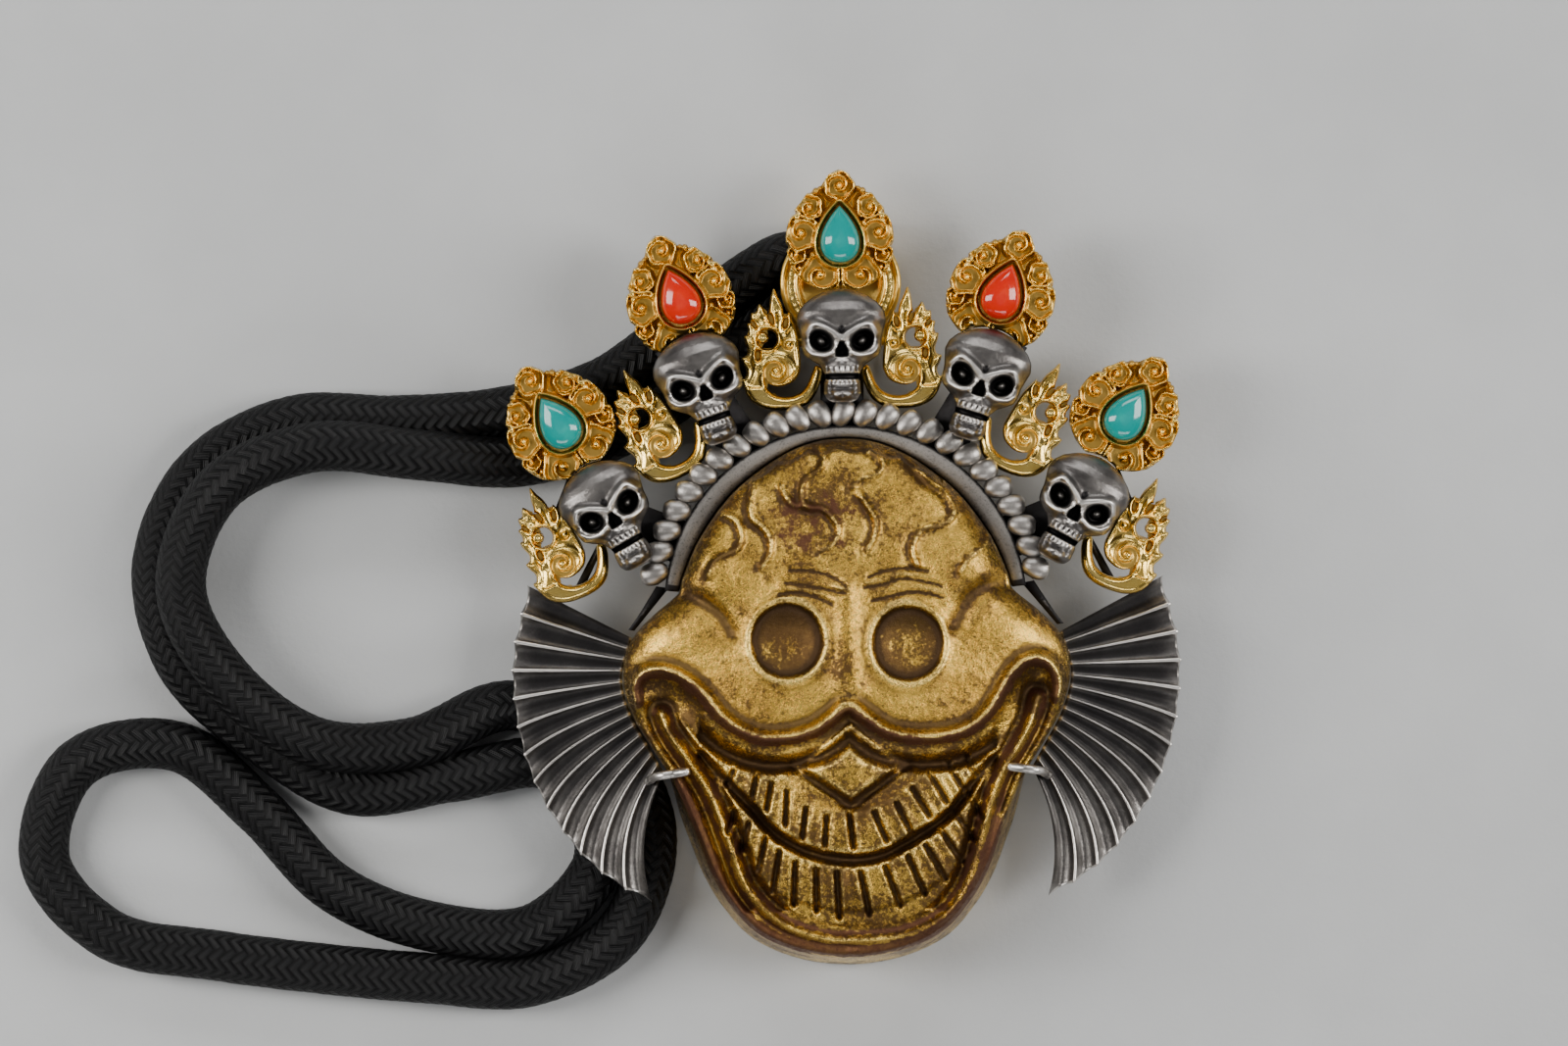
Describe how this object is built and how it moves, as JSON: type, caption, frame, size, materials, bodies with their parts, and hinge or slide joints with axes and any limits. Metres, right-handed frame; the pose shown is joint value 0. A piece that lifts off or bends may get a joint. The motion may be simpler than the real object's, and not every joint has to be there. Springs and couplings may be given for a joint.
{
  "type": "mask pendant",
  "caption": "Gilt skeleton-face mask in a silver crowned pendant mount with skulls, gold finials, stones, fans and a braided cord, lying on its back.",
  "frame": {"origin": "middle of the pendant's footprint, without its cord, on the surface that it lies on", "axes": "+Y towards the crown's top finial, +Z out of the face, +X to the viewer's right"},
  "size_m": [0.1141, 0.0814, 0.0158],
  "materials": {
    "gilt_copper": "satin",
    "oxidised_silver": "satin",
    "gold": "polished",
    "turquoise": "polished",
    "coral": "polished",
    "cord_braid": "matte"
  },
  "bodies": {
    "root": {"mask": "gilt_copper", "mount_frame": "oxidised_silver", "beaded_border": "oxidised_silver", "skull_center": "oxidised_silver", "finial_center": "gold", "stone_center": "turquoise", "skull_mid_left": "oxidised_silver", "finial_mid_left": "gold", "stone_mid_left": "coral", "skull_mid_right": "oxidised_silver", "finial_mid_right": "gold", "stone_mid_right": "coral", "skull_outer_left": "oxidised_silver", "finial_outer_left": "gold", "stone_outer_left": "turquoise", "skull_outer_right": "oxidised_silver", "finial_outer_right": "gold", "stone_outer_right": "turquoise", "scroll_inner_left": "gold", "scroll_inner_right": "gold", "scroll_mid_left": "gold", "scroll_mid_right": "gold", "scroll_outer_left": "gold", "scroll_outer_right": "gold", "fan_left": "oxidised_silver", "fan_right": "oxidised_silver", "bail": "gold", "cord": "cord_braid"}
  },
  "joints": []
}
